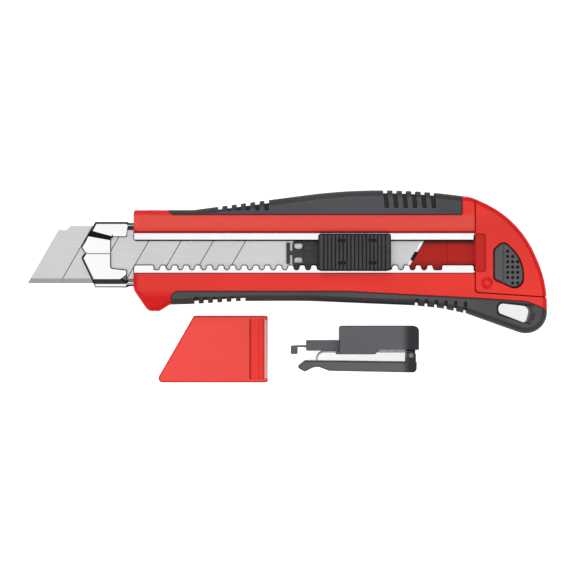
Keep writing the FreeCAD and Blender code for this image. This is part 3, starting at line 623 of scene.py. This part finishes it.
def dot_tree(numbers, material):
    """Rows of small domes on a field whose corners are cut off."""
    board, given = repeat_tree("release dots", numbers)
    columns, rows = given["Columns"], given["Rows"]
    along, across = given["Column pitch"], given["Row pitch"]
    wide = (columns - 1) * along
    tall = (rows - 1) * across
    inputs = {"Size X": wide, "Size Y": tall, "Vertices X": columns, "Vertices Y": rows}
    grid = board.node("GeometryNodeMeshGrid", {}, inputs)
    place = board.node("GeometryNodeInputPosition")
    split = board.node("ShaderNodeSeparateXYZ", {}, {0: place}).socket.node
    x, y = (Value(board, split.outputs[i]) for i in (0, 1))
    column = (x + wide * 0.5) / along
    row = (tall * 0.5 - y) / across
    cut_top = (column - row) > 0.5
    cut_low = (row - column) > (rows - 1.5)
    cut = cut_top + cut_low > 0.5
    kept = board.node("GeometryNodeDeleteGeometry", {"domain": "POINT"}, {"Geometry": grid, "Selection": cut})
    round_part = {"Segments": 16, "Rings": 8, "Radius": given["Dot radius"]}
    dot = board.node("GeometryNodeMeshUVSphere", {}, round_part)
    squat = board.node("ShaderNodeCombineXYZ", {}, {"X": 1.0, "Y": 1.0, "Z": given["Squash"]})
    shape = board.node("GeometryNodeTransform", {}, {"Geometry": dot, "Scale": squat})
    copies = board.node("GeometryNodeInstanceOnPoints", {}, {"Points": kept, "Instance": shape})
    middle = {"X": given["Middle X"], "Y": given["Middle Y"], "Z": given["Middle Z"]}
    centre = board.node("ShaderNodeCombineXYZ", {}, middle)
    moved = board.node("GeometryNodeTransform", {}, {"Geometry": copies, "Translation": centre})
    end_tree(board, moved, material)
    return board.tree


# What a user would change


class KnifeColours(bpy.types.PropertyGroup):
    """Colours of the mouldings and metals."""

    handle: bpy.props.FloatVectorProperty(
        name="Handle", description="Red of the handle and the end cap", subtype="COLOR", size=4,
        default=(0.81, 0.036, 0.025, 1.0), min=0.0, max=1.0)
    guard: bpy.props.FloatVectorProperty(
        name="Guard", description="Lighter red of the tip guard", subtype="COLOR", size=4,
        default=(0.95, 0.068, 0.054, 1.0), min=0.0, max=1.0)
    grip: bpy.props.FloatVectorProperty(
        name="Grip", description="Dark grey of the soft grips", subtype="COLOR", size=4,
        default=(0.062, 0.059, 0.066, 1.0), min=0.0, max=1.0)
    black: bpy.props.FloatVectorProperty(
        name="Black mouldings", description="Black of the thumb button and the belt clip", subtype="COLOR",
        size=4, default=(0.043, 0.041, 0.046, 1.0), min=0.0, max=1.0)
    release: bpy.props.FloatVectorProperty(
        name="Release button", description="Grey of the release button", subtype="COLOR", size=4,
        default=(0.085, 0.085, 0.090, 1.0), min=0.0, max=1.0)
    blade: bpy.props.FloatVectorProperty(
        name="Blade", description="Steel of the blades' flats", subtype="COLOR", size=4,
        default=(0.60, 0.60, 0.61, 1.0), min=0.0, max=1.0)
    honed: bpy.props.FloatVectorProperty(
        name="Honed edge", description="Steel of the blades' ground edge", subtype="COLOR", size=4,
        default=(0.33, 0.325, 0.33, 1.0), min=0.0, max=1.0)
    chrome: bpy.props.FloatVectorProperty(
        name="Chrome", description="Chromed channel and nose", subtype="COLOR", size=4,
        default=(0.88, 0.885, 0.90, 1.0), min=0.0, max=1.0)


class KnifeSizes(bpy.types.PropertyGroup):
    """Sizes of the small shapes that finish the pieces."""

    edge: bpy.props.FloatProperty(
        name="Edge rounding", description="Radius on the edges of the mouldings, in millimetres",
        default=0.30, min=0.02, max=0.5)
    sheet_edge: bpy.props.FloatProperty(
        name="Sheet edge", description="Radius on the edges of pressed steel, in millimetres",
        default=0.34, min=0.02, max=0.5)
    blade_edge: bpy.props.FloatProperty(
        name="Blade edge", description="Radius on the blade's ground corners, in millimetres",
        default=0.03, min=0.01, max=0.1)
    honed_height: bpy.props.FloatProperty(
        name="Honed height", description="Height of the blade's ground edge, in millimetres",
        default=2.2, min=0.5, max=5.0)
    dot_radius: bpy.props.FloatProperty(
        name="Dot radius", description="Radius of a dot on the release button, in millimetres",
        default=0.70, min=0.2, max=1.0)
    thumb_travel: bpy.props.FloatProperty(
        name="Thumb travel", description="How far the thumb button goes down, in millimetres",
        default=1.5, min=0.1, max=3.0)
    release_travel: bpy.props.FloatProperty(
        name="Release travel", description="How far the release button goes down, in millimetres",
        default=1.6, min=0.1, max=3.0)


class KnifeStudio(bpy.types.PropertyGroup):
    """Camera and light."""

    lens: bpy.props.FloatProperty(
        name="Lens", description="Focal length of the camera", subtype="DISTANCE_CAMERA",
        default=200.0, min=50.0, max=400.0)
    frame_width: bpy.props.FloatProperty(
        name="Frame width", description="Width of the view at the handle's face", subtype="DISTANCE",
        default=0.2491, min=0.1, max=1.0)
    sky: bpy.props.FloatProperty(
        name="Sky", description="Strength of the light from above", default=1.1, min=0.0, max=5.0)
    key: bpy.props.FloatProperty(
        name="Softboxes", description="Power of each of the three softboxes", subtype="POWER",
        default=2.5, min=0.0, max=100.0)


def colours():
    return bpy.context.scene.knife_colours


def sizes():
    return bpy.context.scene.knife_sizes


def studio():
    return bpy.context.scene.knife_studio


# Operators, one for each piece or group of like pieces


class KNIFE_OT_camera(bpy.types.Operator):
    """Look straight down on the knife through a long lens"""

    bl_idname = "knife.camera"
    bl_label = "Camera"

    def execute(self, context):
        setting = studio()
        low, high = CAD_BOX
        centre = Vector(((low.x + high.x) / 2 + AIM[0], (low.y + high.y) / 2 + AIM[1], AIM[2]))
        distance = setting.frame_width * setting.lens / SENSOR
        data = bpy.data.cameras.new("camera")
        data.lens = setting.lens
        data.sensor_width = SENSOR
        data.clip_start = 0.05
        data.clip_end = 20.0
        camera = bpy.data.objects.new("camera", data)
        camera.location = centre + Vector((0.0, 0.0, distance))
        context.scene.collection.objects.link(camera)
        context.scene.camera = camera
        return {"FINISHED"}


class KNIFE_OT_handle(bpy.types.Operator):
    """Finish the red handle moulding and the end cap"""

    bl_idname = "knife.handle"
    bl_label = "Handle and end cap"

    def execute(self, context):
        colour = colours().handle
        # The handle and the cap carry painted shade on their leaning faces and the painted light of their tints
        red = moulded_plastic("red_moulding", colour, SHADED_RED, patches=HANDLE_TINTS, shine=0.2)
        finish_node("handle_body", "handle_moulding", red, sizes().edge, clamp=False)
        cap = moulded_plastic("cap_moulding", colour, SHADED_RED, patches=CAP_TINTS, shine=0.2, rim=CAP_RIM)
        finish_node("end_cap", "end_cap_moulding", cap, sizes().edge, clamp=False)
        return {"FINISHED"}


class KNIFE_OT_grips(bpy.types.Operator):
    """Finish the two soft grips"""

    bl_idname = "knife.grips"
    bl_label = "Soft grips"

    def execute(self, context):
        rubber = soft_rubber("grip_rubber", colours().grip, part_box("spine_grip")[1].z - GRIP_GROOVE_TOP * MM)
        finish_node("spine_grip", "spine_grip_moulding", rubber, sizes().edge)
        finish_node("belly_grip", "belly_grip_moulding", rubber, sizes().edge)
        return {"FINISHED"}


class KNIFE_OT_channel(bpy.types.Operator):
    """Finish the chromed channel and nose"""

    bl_idname = "knife.channel"
    bl_label = "Chromed channel"

    def execute(self, context):
        chrome = chromed_sheet("chromed_sheet", colours().chrome, CHANNEL_SHADES)
        how = {"segments": 1, "crease": 14.0, "clamp": False}
        finish_node("blade_channel", "chromed_channel", chrome, sizes().sheet_edge, **how)
        return {"FINISHED"}


class KNIFE_OT_blades(bpy.types.Operator):
    """Finish the working blade and the spare blades"""

    bl_idname = "knife.blades"
    bl_label = "Blades"

    def execute(self, context):
        working = self.steel("working_blade_steel", "working_blade")
        finish_node("working_blade", "working_blade_ground", working, sizes().blade_edge, segments=1)
        spare = self.steel("spare_blade_steel", "spare_blade_1")
        for node in sorted(name for name in frame["nodes"] if name.startswith("spare_blade")):
            finish_node(node, node + "_ground", spare, sizes().blade_edge, segments=1)
        return {"FINISHED"}

    @staticmethod
    def steel(name, node):
        return ground_blade(name, colours().blade, colours().honed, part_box(node), sizes().honed_height * MM)


class KNIFE_OT_slider(bpy.types.Operator):
    """Finish the slider's plate, the thumb button and the lock inside it"""

    bl_idname = "knife.slider"
    bl_label = "Slider"

    def execute(self, context):
        plate = blackened_steel("black_oxide", colours().black)
        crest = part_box("thumb_button")[1].z
        black = ribbed_plastic("ribbed_black", shade(colours().black, 1.15), crest, RIB_DEPTH * MM)
        spring = bright_spring("slider_spring_steel", SPRING_STEEL)
        bright = bright_spring("magazine_spring_finish", MAGAZINE_STEEL)
        finish_node("slider_carrier", "slider_plate", plate, PLATE_EDGE)
        finish_node("thumb_button", "thumb_button_moulding", black, PLATE_EDGE)
        finish_node("lock_pawl", "lock_pawl_steel", spring, PAWL_EDGE)
        leaf = finish_node("lock_leaf", "lock_leaf_steel", spring, LEAF_EDGE)
        flatten(leaf)
        finish_node("blade_stud", "blade_stud_steel", spring, STUD_EDGE)
        finish_node("magazine_spring", "magazine_spring_steel", bright, PAWL_EDGE)
        return {"FINISHED"}


class KNIFE_OT_release(bpy.types.Operator):
    """Finish the release button, its dots and its leaf"""

    bl_idname = "knife.release"
    bl_label = "Release button"

    def execute(self, context):
        colour = colours().release
        matt = {"gloss": 0.50, "grain": 2400.0}
        # The grey moulding's edge colour is painted shade on its leaning faces
        grey = moulded_plastic("grey_moulding", colour, shade(colour, 0.35), depth=0.02, **matt)
        # Near black dots, painted as the shade of the dimples they stand for
        dimple_shade = (shade(colour, 0.08), shade(colour, 0.04))
        dark = moulded_plastic("dot_moulding", *dimple_shade, depth=0.01, shine=0.12, **matt)
        leaf = bright_spring("leaf_steel", SPRING_STEEL)
        finish_node("release_button", "release_button_moulding", grey, PLATE_EDGE)
        spring = finish_node("release_spring", "release_spring_steel", leaf, LEAF_EDGE)
        flatten(spring)
        low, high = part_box("release_button")
        pitch = Vector(DOT_PITCH) * MM
        values = {
            "Columns": DOT_COLUMNS,
            "Rows": DOT_ROWS,
            "Column pitch": pitch.x,
            "Row pitch": pitch.y,
            "Dot radius": sizes().dot_radius * MM,
            "Squash": DOT_SQUASH,
            "Middle X": high.x - DOT_MIDDLE[0] * MM,
            "Middle Y": low.y + DOT_MIDDLE[1] * MM,
            "Middle Z": high.z,
        }
        dots = grown("release_button_dots", dot_tree(values, dark), values)
        for face in dots.data.polygons:
            face.use_smooth = True
        dress(dots, dark)
        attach(dots, "release")
        return {"FINISHED"}


class KNIFE_OT_guard(bpy.types.Operator):
    """Finish the loose tip guard"""

    bl_idname = "knife.guard"
    bl_label = "Tip guard"

    def execute(self, context):
        colour = colours().guard
        low, high = (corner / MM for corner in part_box("tip_guard"))
        tints = []
        for near, far, up, down, tint in GUARD_MARKS:
            corner = (high.x - near, low.y + up, 0.5)
            tints.append((corner, (high.x - far, high.y - down, high.z + 1.0), 0.12, tint))
        how = {"gloss": 0.42, "depth": 0.015, "shine": 0.3}
        # The guard carries painted shade on its leaning faces and at its mouth
        red = moulded_plastic("guard_moulding", colour, SHADED_RED, patches=tints, **how)
        finish_node("tip_guard", "tip_guard_moulding", red, sizes().edge)
        return {"FINISHED"}


class KNIFE_OT_clip(bpy.types.Operator):
    """Finish the belt clip, its pin and its wire spring"""

    bl_idname = "knife.clip"
    bl_label = "Belt clip"

    def execute(self, context):
        colour = shade(colours().black, 2.7)
        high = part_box("clip_body")[1] / MM
        corners = ((high.x - 6.0, high.y - 22.0, -3.0), (high.x + 6.0, high.y + 6.0, 22.0))
        # Painted shade darkening the clip body's high-X end
        shaded_end = (*corners, 2.2, shade(colour, 0.18))
        how = {"gloss": 0.48, "grain": 2200.0, "depth": 0.02, "shine": 0.22}
        # Painted shade on the leaning faces
        edges = shade(colour, 0.22)
        black = moulded_plastic("clip_moulding", colour, edges, patches=(shaded_end,), **how)
        wire = bright_spring("clip_wire", WIRE_STEEL)
        finish_node("clip_body", "clip_block", black, sizes().edge)
        finish_node("clip_arm", "clip_arm_moulding", black, sizes().edge)
        pin = bright_spring("clip_pin_finish", PIN_STEEL)
        finish_node("clip_pin", "clip_pin_steel", pin, PIN_EDGE)
        finish_node("clip_spring", "clip_wire_spring", wire, 0.0)
        return {"FINISHED"}


class KNIFE_OT_stage(bpy.types.Operator):
    """Lay the pale floor and set the studio light"""

    bl_idname = "knife.stage"
    bl_label = "Studio"

    def execute(self, context):
        self.floor(context)
        self.sky(context)
        for name, place in SOFTBOXES.items():
            softbox(context, name, place, SOFTBOX_SIZE, studio().key)
        context.scene.view_settings.view_transform = "Standard"
        return {"FINISHED"}

    @staticmethod
    def floor(context):
        half = FLOOR_HALF
        mesh = bpy.data.meshes.new("floor")
        corners = [(-half, -half, 0.0), (half, -half, 0.0), (half, half, 0.0), (-half, half, 0.0)]
        mesh.from_pydata(corners, [], [(0, 1, 2, 3)])
        floor = bpy.data.objects.new("floor", mesh)
        context.scene.collection.objects.link(floor)
        f = Finish("pale_floor")
        cloud = f.noise(6.0, 2.0)
        pale = f.mix(cloud, (0.90, 0.90, 0.90, 1.0), (0.93, 0.93, 0.93, 1.0))
        glow = {"Emission_Color": (1.0, 1.0, 1.0, 1.0), "Emission_Strength": FLOOR_GLOW}
        mesh.materials.append(f.surface(pale, 0.75, **glow))

    @staticmethod
    def sky(context):
        world = bpy.data.worlds.new("studio")
        world.use_nodes = True
        context.scene.world = world
        board = Board(world.node_tree)
        world.node_tree.nodes.clear()
        place = board.node("ShaderNodeTexCoord", output=0)
        split = board.node("ShaderNodeSeparateXYZ", {}, {0: place}).socket.node
        up = Value(board, split.outputs[2])
        stops = [(height, (grey, grey, grey, 1.0)) for height, grey in SKY_GREYS]
        colour = board.node("ShaderNodeValToRGB", {"stops": stops}, {0: up})
        light = board.node("ShaderNodeBackground", {}, {"Color": colour, "Strength": studio().sky})
        board.node("ShaderNodeOutputWorld", {}, {"Surface": light})


def softbox(context, name, place, size, power):
    data = bpy.data.lights.new(name, "AREA")
    data.shape = "SQUARE"
    data.size = size
    data.energy = power
    light = bpy.data.objects.new(name, data)
    light.location = place
    light.rotation_euler = (-Vector(place)).to_track_quat("-Z", "Y").to_euler()
    context.scene.collection.objects.link(light)


OPERATORS = (
    KNIFE_OT_camera,
    KNIFE_OT_handle,
    KNIFE_OT_grips,
    KNIFE_OT_channel,
    KNIFE_OT_blades,
    KNIFE_OT_slider,
    KNIFE_OT_release,
    KNIFE_OT_guard,
    KNIFE_OT_clip,
    KNIFE_OT_stage,
)


class KNIFE_PT_panel(bpy.types.Panel):
    """The knife's colours, sizes and pieces"""

    bl_idname = "KNIFE_PT_panel"
    bl_label = "Snap off knife"
    bl_space_type = "VIEW_3D"
    bl_region_type = "UI"
    bl_category = "Knife"

    def draw(self, context):
        layout = self.layout
        for group in (colours(), sizes(), studio()):
            box = layout.box()
            for name in type(group).__annotations__:
                box.prop(group, name)
        for operator in OPERATORS:
            layout.operator(operator.bl_idname)


GROUPS = {"knife_colours": KnifeColours, "knife_sizes": KnifeSizes, "knife_studio": KnifeStudio}


def register():
    for name, group in GROUPS.items():
        bpy.utils.register_class(group)
        setattr(bpy.types.Scene, name, bpy.props.PointerProperty(type=group))
    for operator in OPERATORS:
        bpy.utils.register_class(operator)
    bpy.utils.register_class(KNIFE_PT_panel)


def unregister():
    bpy.utils.unregister_class(KNIFE_PT_panel)
    for operator in reversed(OPERATORS):
        bpy.utils.unregister_class(operator)
    for name, group in reversed(list(GROUPS.items())):
        delattr(bpy.types.Scene, name)
        bpy.utils.unregister_class(group)


def main():
    register()
    for operator in OPERATORS:
        group, name = operator.bl_idname.split(".")
        getattr(getattr(bpy.ops, group), name)()


if __name__ == "__main__":
    main()
